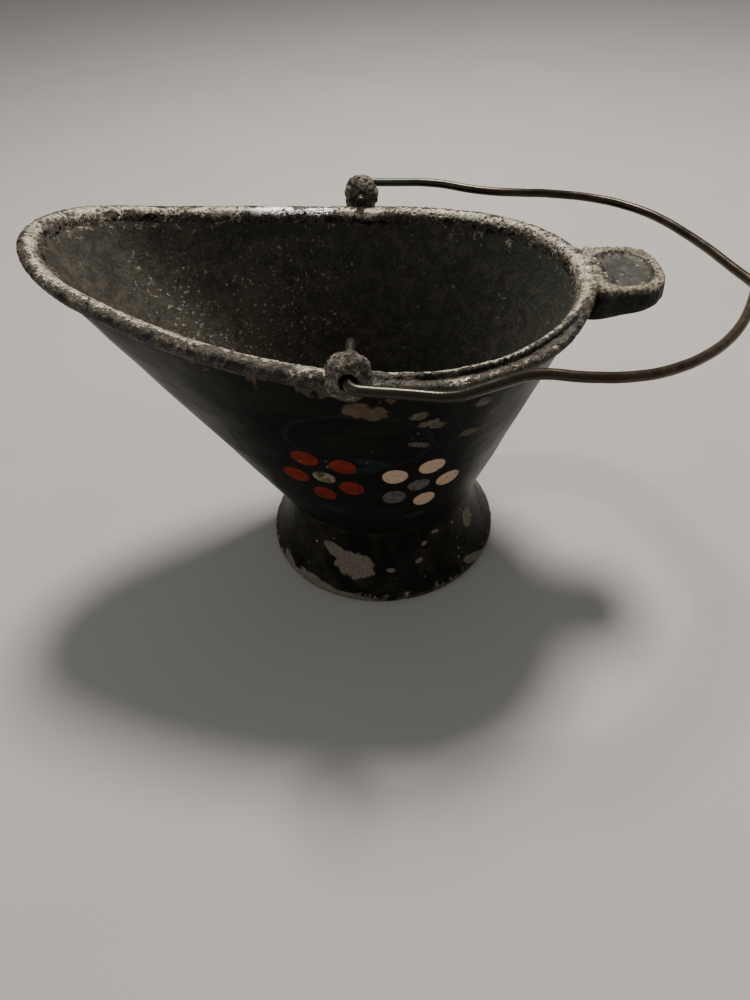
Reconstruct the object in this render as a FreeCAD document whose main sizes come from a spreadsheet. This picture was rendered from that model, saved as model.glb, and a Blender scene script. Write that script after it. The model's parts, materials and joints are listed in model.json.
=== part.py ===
"""Miniature coal scuttle on a pedestal foot, with a swinging wire bail.

Frame: the origin is the centre of the foot's resting face, +Z is up, the spout points along -X
and the rear grip along +X.  The left side is -Y and the right side is +Y.  Sizes are in
millimetres and degrees.
"""
import FreeCAD, Part
import math
import os

import Sketcher
from FreeCAD import Placement, Rotation, Vector

# Driving sizes.  Each is one cell of the spreadsheet.
DRIVING = {
    # pedestal foot
    "foot_radius": 24.0,
    "foot_band": 1.5,
    "foot_wall": 2.4,
    "neck_height": 13.9,
    "neck_radius": 19.2,
    # hopper: a ruled surface from the round neck to the egg-shaped mouth outline, which is drawn
    # on a level plane above the rim
    "hopper_wall": 2.0,
    "floor_thickness": 2.0,
    "mouth_plane": 76.0,
    "mouth_radius": 34.9,
    "mouth_centre": 8.9,
    "mouth_front": 60.2,
    "side_radius": 107.8,
    "side_span": 34.1,
    # sheer: the arc, seen from the side, that the rim follows from the grip up to the spout
    "sheer_low_x": 16.9,
    "sheer_low_z": 56.7,
    "sheer_radius": 236.0,
    # rolled bead on the rim, above and below the sheer arc
    "bead_rise": 0.8,
    "bead_drop": 2.5,
    "bead_overhang": 1.0,
    "bead_lip": 0.3,
    "bead_corner": 0.75,
    # ears that carry the bail
    "pivot_x": -2.1,
    "ear_rise": 2.4,
    "ear_outset": 2.3,
    "ear_half_length": 3.2,
    "ear_half_thickness": 2.4,
    "ear_half_height": 3.4,
    "ear_socket": 3.8,
    "socket_depth": 1.2,
    # thumb grip at the rear
    "grip_length": 12.3,
    "grip_half_width": 8.0,
    "grip_thickness": 3.4,
    "grip_root_thickness": 5.7,
    "grip_rise": 0.5,
    "grip_corner": 6.4,
    "grip_border": 1.9,
    "grip_dish": 0.7,
    "grip_round": 0.7,
    # bail
    "wire_diameter": 1.62,
    "wire_play": 0.09,
    "leg_gap": 0.3,
    "bail_shift": 2.5,
    "bail_reach": 67.2,
    "bail_droop": 5.0,
    "left_stub": 5.5,
    "right_stub": 2.4,
    "eye_bend": 1.8,
}

# Half the length of the side-view cuts, and level lines well above and below the object.
SIDE_VIEW_HALF = 100.0
LINE_ABOVE = 160.0
LINE_BELOW = -20.0
CUT_ACROSS = 200.0

# Bends of the bail between its two eyes: share of the reach, share of the leg's distance from
# the middle (left legs are negative), share of the shorter run beside it that the bend takes.
BAIL_BENDS = [
    (0.201, -1.025, 0.15),
    (0.380, -0.835, 0.25),
    (0.558, -0.885, 0.45),
    (0.759, -0.722, 0.45),
    (0.912, -0.362, 0.40),
    (1.000, -0.028, 0.12),
    (0.938, 0.393, 0.30),
    (0.852, 0.810, 0.42),
    (0.658, 0.976, 0.42),
    (0.402, 0.929, 0.42),
    (0.208, 1.045, 0.25),
]


def derived_sizes(d):
    """Positions that follow from the driving sizes."""
    out = {}
    # The nose arc touches both side arcs and the front of the mouth.
    reach = d["mouth_front"] + d["mouth_centre"]
    inset = d["mouth_radius"] - d["side_radius"]
    out["nose_radius"] = (d["side_radius"] ** 2 - reach**2 - inset**2) / (
        2 * (d["side_radius"] - reach)
    )

    def sheer_height(x):
        drop = math.sqrt(d["sheer_radius"] ** 2 - (x - d["sheer_low_x"]) ** 2)
        return d["sheer_low_z"] + d["sheer_radius"] - drop

    def rise_share(z):
        return (z - d["neck_height"]) / (d["mouth_plane"] - d["neck_height"])

    # Half-width of the outer wall where the bail turns.
    bead_z = sheer_height(d["pivot_x"])
    share = rise_share(bead_z)
    radius = d["neck_radius"] * (1 - share) + d["side_radius"] * share
    along = d["pivot_x"] - d["mouth_centre"] * share
    half_width = math.sqrt(radius**2 - along**2) + inset * share
    out["ear_bore"] = d["wire_diameter"] + 2 * d["wire_play"]
    out["pivot_z"] = bead_z + d["ear_rise"]
    out["ear_y"] = half_width + d["ear_outset"]

    # Where the outer wall meets the sheer arc at the rear, found by a few rounds of substitution.
    rear_x = d["mouth_centre"] + d["mouth_radius"]
    for _ in range(6):
        share = rise_share(sheer_height(rear_x))
        rear_x = d["neck_radius"] * (1 - share) + share * (d["mouth_centre"] + d["mouth_radius"])
    out["rear_x"] = rear_x
    out["grip_top"] = sheer_height(rear_x) + d["grip_rise"]
    return out


doc = FreeCAD.newDocument("coal_scuttle")
sheet = doc.addObject("Spreadsheet::Sheet", "Sizes")
DERIVED = derived_sizes(DRIVING)
for row, (alias, value) in enumerate([*DRIVING.items(), *DERIVED.items()], start=1):
    sheet.set(f"A{row}", alias)
    sheet.set(f"B{row}", str(value))
    sheet.setAlias(f"B{row}", alias)
doc.recompute()


def size(alias):
    return float(sheet.get(alias))


def cell(expression):
    """Write an expression with each alias as a reference to the spreadsheet."""
    words = []
    for word in expression.split():
        words.append(f"Sizes.{word}" if word in DRIVING or word in DERIVED else word)
    return " ".join(words)


def bind(item, prop, expression):
    item.setExpression(prop, cell(expression))


def origin_plane(body, role):
    return next(f for f in body.Origin.OriginFeatures if f.Role == role)


def new_body(label):
    body = doc.addObject("PartDesign::Body", label)
    body.Label = label
    return body


def new_sketch(body, name, role, height=None):
    sketch = body.newObject("Sketcher::SketchObject", name)
    sketch.AttachmentSupport = [(origin_plane(body, role), "")]
    sketch.MapMode = "FlatFace"
    if height:
        bind(sketch, "AttachmentOffset.Base.z", height)
    return sketch


def constrain(sketch, *parts, expression=None):
    """Add one constraint; a dimension also gets its expression."""
    index = sketch.addConstraint(Sketcher.Constraint(*parts))
    if expression:
        bind(sketch, f"Constraints[{index}]", expression)
    return index


def arc(centre, radius, start, end):
    circle = Part.Circle(Vector(*centre, 0), Vector(0, 0, 1), radius)
    return Part.ArcOfCircle(circle, math.radians(start), math.radians(end))


START, END, CENTRE = 1, 2, 3
AXIS_X, AXIS_Y = -1, -2


def outline_joints(sketch):
    """Join the four arcs of an outline: rear half circle, right side, nose, left side."""
    for first, second in ((0, 1), (1, 2), (2, 3), (3, 0)):
        constrain(sketch, "Tangent", first, END, second, START)


def mouth_sketch(body, name, offset):
    """Egg-shaped outline of the mouth, set outwards by the offset expression."""
    sketch = new_sketch(body, name, "XY_Plane", "mouth_plane")
    radius, centre = size("mouth_radius"), size("mouth_centre")
    side, nose = size("side_radius"), size("nose_radius")
    nose_centre = nose - size("mouth_front")
    swing = math.degrees(math.atan2(side - radius, nose_centre - centre))
    sketch.addGeometry(
        [
            arc((centre, 0), radius, -90, 90),
            arc((centre, radius - side), side, 90, swing),
            arc((nose_centre, 0), nose, swing, 360 - swing),
            arc((centre, side - radius), side, 360 - swing, 270),
        ]
    )
    constrain(sketch, "PointOnObject", 0, CENTRE, AXIS_X)
    constrain(sketch, "DistanceX", AXIS_X, START, 0, CENTRE, centre, expression="mouth_centre")
    constrain(sketch, "Vertical", 0, START, 0, CENTRE)
    constrain(sketch, "Vertical", 0, END, 0, CENTRE)
    outline_joints(sketch)
    constrain(sketch, "Radius", 0, radius, expression=f"mouth_radius + {offset}")
    constrain(sketch, "Radius", 1, side, expression=f"side_radius + {offset}")
    constrain(sketch, "Radius", 2, nose, expression=f"nose_radius + {offset}")
    constrain(sketch, "Equal", 1, 3)
    return sketch


def neck_sketch(body, name, offset, height):
    """Neck circle, parted into the same four arcs as the mouth."""
    sketch = new_sketch(body, name, "XY_Plane", height)
    radius, span = size("neck_radius"), size("side_span")
    sketch.addGeometry(
        [
            arc((0, 0), radius, -90, 90),
            arc((0, 0), radius, 90, 90 + span),
            arc((0, 0), radius, 90 + span, 270 - span),
            arc((0, 0), radius, 270 - span, 270),
        ]
    )
    for index in range(4):
        constrain(sketch, "Coincident", index, CENTRE, AXIS_X, START)
        constrain(sketch, "Coincident", index, END, (index + 1) % 4, START)
    constrain(sketch, "PointOnObject", 0, START, AXIS_Y)
    constrain(sketch, "PointOnObject", 0, END, AXIS_Y)
    constrain(sketch, "Radius", 0, radius, expression=f"neck_radius + {offset}")
    for index in (1, 3):
        constrain(sketch, "Angle", index, math.radians(span), expression="side_span * 1 deg")
    return sketch


def loft(body, kind, name, lower, upper):
    feature = body.newObject(f"PartDesign::{kind}", name)
    feature.Profile = lower
    feature.Sections = [upper]
    feature.Ruled = True
    return feature


def sheer_sketch(body, name, offset, far_line):
    """Side view between the sheer arc, moved down by the offset, and a level line."""
    sketch = new_sketch(body, name, "XZ_Plane")
    low_x, low_z, radius = size("sheer_low_x"), size("sheer_low_z"), size("sheer_radius")
    front, rear = low_x - SIDE_VIEW_HALF, low_x + SIDE_VIEW_HALF
    lift = radius - math.sqrt(radius**2 - SIDE_VIEW_HALF**2)
    half = math.degrees(math.asin(SIDE_VIEW_HALF / radius))
    corner_z = low_z + lift
    sketch.addGeometry(
        [
            arc((low_x, low_z + radius), radius, 270 - half, 270 + half),
            Part.LineSegment(Vector(rear, corner_z, 0), Vector(rear, far_line, 0)),
            Part.LineSegment(Vector(rear, far_line, 0), Vector(front, far_line, 0)),
            Part.LineSegment(Vector(front, far_line, 0), Vector(front, corner_z, 0)),
        ]
    )
    constrain(sketch, "Coincident", 0, END, 1, START)
    constrain(sketch, "Coincident", 1, END, 2, START)
    constrain(sketch, "Coincident", 2, END, 3, START)
    constrain(sketch, "Coincident", 3, END, 0, START)
    constrain(sketch, "Vertical", 1)
    constrain(sketch, "Vertical", 3)
    constrain(sketch, "Horizontal", 2)
    constrain(sketch, "DistanceX", AXIS_X, START, 0, CENTRE, low_x, expression="sheer_low_x")
    constrain(
        sketch, "DistanceY", AXIS_X, START, 0, CENTRE, low_z + radius,
        expression="sheer_low_z + sheer_radius",
    )
    constrain(sketch, "Radius", 0, radius, expression=f"sheer_radius + {offset}")
    constrain(sketch, "DistanceX", 0, START, 0, END, 2 * SIDE_VIEW_HALF)
    constrain(sketch, "Horizontal", 0, START, 0, END)
    constrain(sketch, "DistanceY", AXIS_X, START, 2, START, far_line)
    return sketch


def cut_side_view(body, name, sketch):
    pocket = body.newObject("PartDesign::Pocket", name)
    pocket.Profile = sketch
    pocket.SideType = "Symmetric"
    pocket.Length = CUT_ACROSS
    return pocket


def make_hopper_shell():
    """Flared wall from the neck up to the underside of the bead, with a seat for the floor."""
    body = new_body("hopper_shell")
    outer_neck = neck_sketch(body, "shell_neck", "0", "neck_height")
    outer_mouth = mouth_sketch(body, "shell_mouth", "0")
    loft(body, "AdditiveLoft", "shell_outside", outer_neck, outer_mouth)
    inner_neck = neck_sketch(body, "shell_neck_inside", "0 - hopper_wall", "neck_height")
    inner_mouth = mouth_sketch(body, "shell_mouth_inside", "0 - hopper_wall")
    loft(body, "SubtractiveLoft", "shell_inside", inner_neck, inner_mouth)
    above = sheer_sketch(body, "shell_sheer", "bead_drop", LINE_ABOVE)
    cut_side_view(body, "shell_top_cut", above)
    return body


def make_hopper_floor():
    """Disc that closes the bottom of the hopper; it lies on the foot inside the wall."""
    body = new_body("hopper_floor")
    sketch = new_sketch(body, "floor_outline", "XY_Plane", "neck_height")
    sketch.addGeometry(Part.Circle(Vector(0, 0, 0), Vector(0, 0, 1), 1))
    constrain(sketch, "Coincident", 0, CENTRE, AXIS_X, START)
    constrain(sketch, "Radius", 0, 1, expression="neck_radius - hopper_wall")
    pad = body.newObject("PartDesign::Pad", "floor_plate")
    pad.Profile = sketch
    bind(pad, "Length", "floor_thickness")
    return body


def make_rim_bead():
    """Thick bead with broken corners that runs round the whole mouth on top of the wall."""
    body = new_body("rim_bead")
    outer_neck = neck_sketch(body, "bead_neck", "bead_overhang", "neck_height")
    outer_mouth = mouth_sketch(body, "bead_mouth", "bead_overhang")
    loft(body, "AdditiveLoft", "bead_outside", outer_neck, outer_mouth)
    inner = "0 - hopper_wall - bead_lip"
    inner_neck = neck_sketch(body, "bead_neck_inside", inner, "neck_height")
    inner_mouth = mouth_sketch(body, "bead_mouth_inside", inner)
    loft(body, "SubtractiveLoft", "bead_inside", inner_neck, inner_mouth)
    above = sheer_sketch(body, "bead_top", "0 - bead_rise", LINE_ABOVE)
    cut_side_view(body, "bead_top_cut", above)
    below = sheer_sketch(body, "bead_underside", "bead_drop", LINE_BELOW)
    band = cut_side_view(body, "bead_underside_cut", below)
    doc.recompute()
    # The long edges run round the mouth; the short ones only part the faces.
    long_edges = [
        f"Edge{i}"
        for i, edge in enumerate(band.Shape.Edges, start=1)
        if edge.Length > 2 * (size("bead_rise") + size("bead_drop"))
    ]
    corners = body.newObject("PartDesign::Chamfer", "bead_corners")
    corners.Base = (band, long_edges)
    bind(corners, "Size", "bead_corner")
    return body


def make_pedestal_foot():
    """Hollow spun foot: a narrow upright band below a hollow-sided flare up to the neck."""
    body = new_body("pedestal_foot")
    sketch = new_sketch(body, "foot_profile", "XZ_Plane")
    base, band, wall = size("foot_radius"), size("foot_band"), size("foot_wall")
    neck, height = size("neck_radius"), size("neck_height")
    step, rise = base - neck, height - band
    flare = (step**2 + rise**2) / (2 * step)
    sweep = math.degrees(math.asin(rise / flare))
    centre = (neck + flare, height)
    sketch.addGeometry(
        [
            Part.LineSegment(Vector(base, 0, 0), Vector(base, band, 0)),
            arc(centre, flare, 180, 180 + sweep),
            Part.LineSegment(Vector(neck, height, 0), Vector(neck - 2 * wall, height, 0)),
            arc(centre, flare + 2 * wall, 180, 180 + sweep),
            Part.LineSegment(Vector(base - wall, 0, 0), Vector(base, 0, 0)),
        ]
    )
    constrain(sketch, "Coincident", 0, END, 1, END)
    constrain(sketch, "Coincident", 1, START, 2, START)
    constrain(sketch, "Coincident", 2, END, 3, START)
    constrain(sketch, "Coincident", 3, END, 4, START)
    constrain(sketch, "Coincident", 4, END, 0, START)
    constrain(sketch, "Coincident", 1, CENTRE, 3, CENTRE)
    constrain(sketch, "Vertical", 0)
    constrain(sketch, "Horizontal", 2)
    constrain(sketch, "Horizontal", 1, START, 1, CENTRE)
    constrain(sketch, "PointOnObject", 4, START, AXIS_X)
    constrain(sketch, "PointOnObject", 4, END, AXIS_X)
    constrain(sketch, "DistanceX", AXIS_X, START, 0, START, base, expression="foot_radius")
    constrain(sketch, "DistanceY", 0, START, 0, END, band, expression="foot_band")
    constrain(sketch, "DistanceX", AXIS_X, START, 1, START, neck, expression="neck_radius")
    constrain(sketch, "DistanceY", AXIS_X, START, 1, START, height, expression="neck_height")
    constrain(sketch, "DistanceX", 2, END, 2, START, 2 * wall, expression="foot_wall * 2")
    revolution = body.newObject("PartDesign::Revolution", "foot_turning")
    revolution.Profile = sketch
    revolution.ReferenceAxis = (sketch, ["V_Axis"])
    revolution.Angle = 360
    return body


def make_ear(label, side, collars):
    """Ball-shaped ear on the bead, bored along Y and opened out where the bail enters."""
    ball = doc.addObject("Part::Ellipsoid", f"{label}_ball")
    bind(ball, "Radius1", "ear_half_height")
    bind(ball, "Radius2", "ear_half_length")
    bind(ball, "Radius3", "ear_half_thickness")
    bind(ball, "Placement.Base.x", "pivot_x")
    bind(ball, "Placement.Base.y", f"ear_y * {side}")
    bind(ball, "Placement.Base.z", "pivot_z")

    bore = doc.addObject("Part::Cylinder", f"{label}_bore")
    bind(bore, "Radius", "ear_bore / 2")
    bind(bore, "Height", "ear_y + ear_half_thickness * 2")

    socket = doc.addObject("Part::Cone", f"{label}_socket")
    bind(socket, "Radius1", "ear_bore / 2")
    bind(socket, "Radius2", "ear_socket / 2")
    bind(socket, "Height", "socket_depth")

    # The cutters point outwards along the pivot line.
    outwards = Rotation(Vector(1, 0, 0), -90 * side)
    for cutter, distance in ((bore, "0"), (socket, "ear_y + ear_half_thickness - socket_depth")):
        cutter.Placement = Placement(Vector(0, 0, 0), outwards)
        bind(cutter, "Placement.Base.x", "pivot_x")
        bind(cutter, "Placement.Base.y", f"( {distance} ) * {side}")
        bind(cutter, "Placement.Base.z", "pivot_z")

    cutters = doc.addObject("Part::MultiFuse", f"{label}_cutters")
    cutters.Shapes = [bore, socket, *collars]
    ear = doc.addObject("Part::Cut", label)
    ear.Label = label
    ear.Base = ball
    ear.Tool = cutters
    return ear


def grip_sketch(body, name, height, inset):
    """Grip outline: straight sides and a rounded end; its root lies under the bead."""
    sketch = new_sketch(body, name, "XY_Plane", height)
    root, end = size("rear_x"), size("rear_x") + size("grip_length")
    half, corner = size("grip_half_width"), size("grip_corner")
    sketch.addGeometry(
        [
            Part.LineSegment(Vector(root, -half, 0), Vector(end - corner, -half, 0)),
            arc((end - corner, corner - half), corner, 270, 360),
            Part.LineSegment(Vector(end, corner - half, 0), Vector(end, half - corner, 0)),
            arc((end - corner, half - corner), corner, 0, 90),
            Part.LineSegment(Vector(end - corner, half, 0), Vector(root, half, 0)),
            Part.LineSegment(Vector(root, half, 0), Vector(root, -half, 0)),
        ]
    )
    for first in range(4):
        constrain(sketch, "Tangent", first, END, first + 1, START)
    constrain(sketch, "Coincident", 4, END, 5, START)
    constrain(sketch, "Coincident", 5, END, 0, START)
    constrain(sketch, "Horizontal", 0)
    constrain(sketch, "Horizontal", 4)
    constrain(sketch, "Symmetric", 5, START, 5, END, AXIS_X)
    constrain(sketch, "Equal", 1, 3)
    constrain(sketch, "Radius", 1, corner, expression=f"grip_corner - {inset}")
    constrain(sketch, "DistanceY", 5, END, 5, START, 2 * half,
              expression=f"2 * ( grip_half_width - {inset} )")
    constrain(sketch, "DistanceX", AXIS_X, START, 5, START, root, expression=f"rear_x + {inset}")
    constrain(sketch, "DistanceX", AXIS_X, START, 2, START, end,
              expression=f"rear_x + grip_length - {inset}")
    return sketch


def underside_sketch(body):
    """Side view of what is cut away below the grip, which thickens towards its root."""
    sketch = new_sketch(body, "grip_underside", "XZ_Plane")
    root, end = size("rear_x"), size("rear_x") + size("grip_length")
    low, high = size("grip_top") - size("grip_root_thickness"), size("grip_top") - size("grip_thickness")
    corners = [Vector(root, low, 0), Vector(end, low, 0), Vector(end, high, 0)]
    for first, second in zip(corners, corners[1:] + corners[:1]):
        sketch.addGeometry(Part.LineSegment(first, second))
    for first in range(3):
        constrain(sketch, "Coincident", first, END, (first + 1) % 3, START)
    constrain(sketch, "Horizontal", 0)
    constrain(sketch, "Vertical", 1)
    constrain(sketch, "DistanceX", AXIS_X, START, 0, START, root, expression="rear_x")
    constrain(sketch, "DistanceX", 0, START, 0, END, end - root, expression="grip_length")
    constrain(sketch, "DistanceY", AXIS_X, START, 0, START, low,
              expression="grip_top - grip_root_thickness")
    constrain(sketch, "DistanceY", 1, START, 1, END, high - low,
              expression="grip_root_thickness - grip_thickness")
    return sketch


def make_grip_blank():
    """Plate of the grip, dished on top for the thumb, before it is fitted to the bead."""
    body = new_body("grip_blank")
    outline = grip_sketch(body, "grip_outline", "grip_top", "0")
    plate = body.newObject("PartDesign::Pad", "grip_plate")
    plate.Profile = outline
    plate.Reversed = True
    bind(plate, "Length", "grip_root_thickness")
    wedge = underside_sketch(body)
    slope = cut_side_view(body, "grip_underside_cut", wedge)
    doc.recompute()
    # All edges but those at the root, which are lost under the bead.
    outer_edges = [
        f"Edge{i}"
        for i, edge in enumerate(slope.Shape.Edges, start=1)
        if edge.BoundBox.XMax > size("rear_x") + size("grip_round")
        and edge.BoundBox.ZLength < size("grip_thickness") / 2
    ]
    rounding = body.newObject("PartDesign::Fillet", "grip_rounding")
    rounding.Base = (slope, outer_edges)
    bind(rounding, "Radius", "grip_round")
    hollow = grip_sketch(body, "grip_hollow", "grip_top", "grip_border")
    dish = body.newObject("PartDesign::Pocket", "grip_dish_cut")
    dish.Profile = hollow
    bind(dish, "Length", "grip_dish")
    return body


def make_rear_grip(collars):
    """Grip plate fitted to the outside of the bead."""
    cutters = doc.addObject("Part::MultiFuse", "grip_cutters")
    cutters.Shapes = collars
    grip = doc.addObject("Part::Cut", "rear_grip")
    grip.Label = "rear_grip"
    grip.Base = make_grip_blank()
    grip.Tool = cutters
    return grip


def bent_wire(points, shares, eye_radius):
    """Straight runs joined by tangent arcs; the two end corners are bent to the eye radius."""
    edges = []
    start = points[0]
    for before, point, after, share in zip(points, points[1:], points[2:], [None, *shares, None]):
        inward, onward = before - point, after - point
        shorter = min(inward.Length, onward.Length)
        half = inward.getAngle(onward) / 2
        setback = eye_radius / math.tan(half) if share is None else share * shorter
        radius = setback * math.tan(half)
        inward.normalize()
        onward.normalize()
        first, last = point + inward * setback, point + onward * setback
        middle = point + (inward + onward).normalize() * (radius / math.sin(half) - radius)
        edges.append(Part.makeLine(start, first))
        edges.append(Part.Arc(first, middle, last).toShape())
        start = last
    edges.append(Part.makeLine(start, points[-1]))
    return Part.Wire(edges)


def bail_points():
    """Points of the bail in its own plane: X along the reach, Y across, pivot line at X = 0."""
    reach = size("bail_reach")
    ear_outer = size("ear_y") + size("ear_half_thickness")
    ear_inner = size("ear_y") - size("ear_half_thickness")
    left = ear_outer + size("leg_gap") + size("wire_diameter") / 2
    right = left + size("bail_shift")
    flat = [(0.0, size("left_stub") - ear_inner), (0.0, -left)]
    for along, across, _ in BAIL_BENDS:
        flat.append((along * reach, across * (left if across < 0 else right)))
    flat += [(0.0, right), (0.0, ear_inner - size("right_stub"))]
    return [Vector(x, y, 0) for x, y in flat]


def make_bail():
    """Bail of bent wire; both ends turn inwards through the ears."""
    shares = [share for _, _, share in BAIL_BENDS]
    centreline = doc.addObject("Part::Feature", "bail_centreline")
    centreline.Shape = bent_wire(bail_points(), shares, size("eye_bend"))
    start = bail_points()[0]
    section = doc.addObject("Part::Circle", "bail_section")
    bind(section, "Radius", "wire_diameter / 2")
    section.Placement = Placement(start, Rotation(Vector(0, 0, 1), Vector(0, 1, 0)))
    bail = doc.addObject("Part::Sweep", "bail_wire")
    bail.Label = "bail_wire"
    bail.Sections = [section]
    bail.Spine = (centreline, [f"Edge{i + 1}" for i in range(len(centreline.Shape.Edges))])
    bail.Solid = True
    bail.Frenet = True
    bail.Placement = Placement(Vector(0, 0, 0), Rotation(Vector(0, 1, 0), size("bail_droop")))
    bind(bail, "Placement.Base.x", "pivot_x")
    bind(bail, "Placement.Base.z", "pivot_z")
    return bail


def main():
    shell = make_hopper_shell()
    bead = make_rim_bead()
    collars = [shell, bead]
    nodes = [
        shell,
        make_hopper_floor(),
        bead,
        make_pedestal_foot(),
        make_rear_grip(collars),
        make_ear("bail_ear_left", -1, collars),
        make_ear("bail_ear_right", 1, collars),
        make_bail(),
    ]
    doc.recompute()
    for item in doc.Objects:
        if {"Invalid", "Error"} & set(item.State):
            raise RuntimeError(f"{item.Name} failed: {item.State}")
    for node in nodes:
        if node.Shape.isNull() or not node.Shape.isValid() or len(node.Shape.Solids) != 1:
            raise RuntimeError(f"{node.Label} is not one valid solid")
    os.makedirs("parts", exist_ok=True)
    for node in nodes:
        node.Shape.exportStep(f"parts/{node.Label}.step")
        box = node.Shape.BoundBox
        print(
            f"{node.Label:16s} volume {node.Shape.Volume:9.1f}"
            f"  x {box.XMin:6.1f} {box.XMax:6.1f}"
            f"  y {box.YMin:6.1f} {box.YMax:6.1f}  z {box.ZMin:6.1f} {box.ZMax:6.1f}"
        )


main()
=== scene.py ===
import json
import math
import random

import bmesh
import bpy
from bpy.props import FloatProperty, FloatVectorProperty, IntProperty, PointerProperty
from mathutils import Matrix, Vector, noise


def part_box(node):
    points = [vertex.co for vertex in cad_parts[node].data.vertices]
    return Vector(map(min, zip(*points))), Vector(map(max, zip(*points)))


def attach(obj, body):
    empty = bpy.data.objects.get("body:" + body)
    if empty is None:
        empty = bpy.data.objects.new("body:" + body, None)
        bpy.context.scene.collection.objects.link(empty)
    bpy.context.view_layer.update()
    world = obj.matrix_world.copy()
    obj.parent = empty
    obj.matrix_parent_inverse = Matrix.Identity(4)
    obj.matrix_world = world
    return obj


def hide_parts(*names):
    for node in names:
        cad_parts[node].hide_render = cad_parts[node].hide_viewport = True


bl_info = {
    "name": "Miniature coal scuttle",
    "version": (1, 0, 0),
    "blender": (4, 5, 0),
    "location": "3D View > Sidebar > Scuttle",
    "description": "Painted cast scuttle with a worn rim, a rear grip and a swinging wire bail",
    "category": "Object",
}

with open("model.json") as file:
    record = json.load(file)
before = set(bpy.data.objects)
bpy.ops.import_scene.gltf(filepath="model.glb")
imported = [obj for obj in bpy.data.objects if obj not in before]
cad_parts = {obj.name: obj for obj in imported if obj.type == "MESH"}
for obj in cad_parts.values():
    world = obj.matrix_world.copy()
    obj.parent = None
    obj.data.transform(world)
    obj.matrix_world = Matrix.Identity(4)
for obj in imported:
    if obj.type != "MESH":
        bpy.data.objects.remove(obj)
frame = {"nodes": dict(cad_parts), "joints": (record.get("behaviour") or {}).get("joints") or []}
JOINT = frame["joints"][0]
PIVOT = Vector(JOINT["pos_m"])
MM = 0.001


def length(name, description, default, **limits):
    """A size in metres."""
    return FloatProperty(
        name=name, description=description, default=default, unit="LENGTH", precision=5, min=0.0, **limits
    )


def colour(name, description, default):
    """A linear colour."""
    return FloatVectorProperty(
        name=name, description=description, default=default, subtype="COLOR", size=3, min=0.0, max=1.0
    )


# --- Settings ---------------------------------------------------------------


class HopperSettings(bpy.types.PropertyGroup):
    """The flared body, from its round neck to its spouted mouth."""

    neck_radius: length("Neck radius", "Outside radius where the body meets its foot", 0.0192)
    neck_height: length("Neck height", "Height of the neck above the resting face", 0.0139)
    mouth_height: length("Mouth plane", "Height where the mouth outline is measured", 0.076)
    mouth_radius: length("Mouth radius", "Radius of the round rear half of the mouth", 0.0349)
    mouth_centre: length("Mouth centre", "How far the round rear half sits behind the neck", 0.0089)
    mouth_front: length("Spout length", "How far the spout reaches in front of the foot's middle", 0.0602)
    side_radius: length("Side radius", "Radius of the flat sides that run to the spout", 0.1078)
    wall: length("Wall", "Thickness of the casting", 0.002)
    sheer_low_x: length("Sheer low point", "How far behind the neck the rim is lowest", 0.0169)
    sheer_low_z: length("Sheer height", "Height of the rim at its lowest point", 0.0567)
    sheer_radius: length("Sheer radius", "Radius of the rim's curve in side view", 0.236)
    unevenness: length("Unevenness", "How far the cast surface wanders", 0.00012)
    segments: IntProperty(name="Segments", description="Points round the body", default=320, min=48)
    rows: IntProperty(name="Rows", description="Rings up each face of the wall", default=44, min=8)


class RimSettings(bpy.types.PropertyGroup):
    """The rolled rim."""

    segments: IntProperty(name="Segments", description="Sections along the rim", default=900, min=120)
    fineness: IntProperty(
        name="Fineness", description="Points between two marks of the section", default=3, min=1
    )
    waviness: length("Waviness", "How far the roll wanders from its line", 0.00016)
    pitting: length("Pitting", "Depth of the pits in the worn roll", 0.00017)


class FootSettings(bpy.types.PropertyGroup):
    """The pedestal foot."""

    radius: length("Foot radius", "Radius of the resting edge", 0.024)
    band: length("Band", "Height of the upright edge band", 0.0015)
    ledge: length("Ledge", "Width of the ring that the foot rests on", 0.0048)
    hollow_top: length("Hollow top radius", "Radius of the hollow underneath, at its top", 0.0144)
    unevenness: length("Unevenness", "How far the cast surface wanders", 0.00010)
    segments: IntProperty(name="Segments", description="Points round the foot", default=256, min=48)


class EarSettings(bpy.types.PropertyGroup):
    """The two pierced ears that carry the bail."""

    half_length: length("Half length", "Half of an ear along the rim", 0.0032)
    half_thickness: length("Half thickness", "Half of an ear along the pivot", 0.0024)
    half_height: length("Half height", "Half of an ear upwards", 0.0034)
    bore: length("Bore radius", "Radius of the hole for the bail", 0.0009)
    socket: length("Socket radius", "Radius of the worn socket on the outside", 0.00124)
    socket_depth: length("Socket depth", "Depth of the worn socket", 0.0012)
    crust: length("Crust", "Height of the lumps of the crusted casting", 0.00034)


class GripSettings(bpy.types.PropertyGroup):
    """The flat grip behind the rim."""

    half_width: length("Half width", "Half of the grip across the body", 0.008)
    border: length("Border", "Width of the raised border", 0.0021)
    dish: length("Dish", "Depth of the dished middle", 0.0007)
    root_thickness: length("Root thickness", "Thickness where the grip leaves the rim", 0.0057)
    tip_thickness: length("Tip thickness", "Thickness at the far end", 0.0034)
    crust: length("Crust", "Height of the lumps near the root", 0.00032)


class BailSettings(bpy.types.PropertyGroup):
    """The bent wire bail."""

    diameter: length("Wire diameter", "Diameter of the wire", 0.00162)
    reach: length("Reach", "How far the bail reaches from its pivot", 0.0672)
    droop: FloatProperty(
        name="Droop",
        description="Slope of the bail at rest, below level",
        default=math.radians(5),
        subtype="ANGLE",
    )
    eye_bend: length("Eye bend", "Bend radius where the wire turns into an ear", 0.0018)
    kinks: length("Kinks", "How far the wire wanders from its drawn line", 0.00008)


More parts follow.
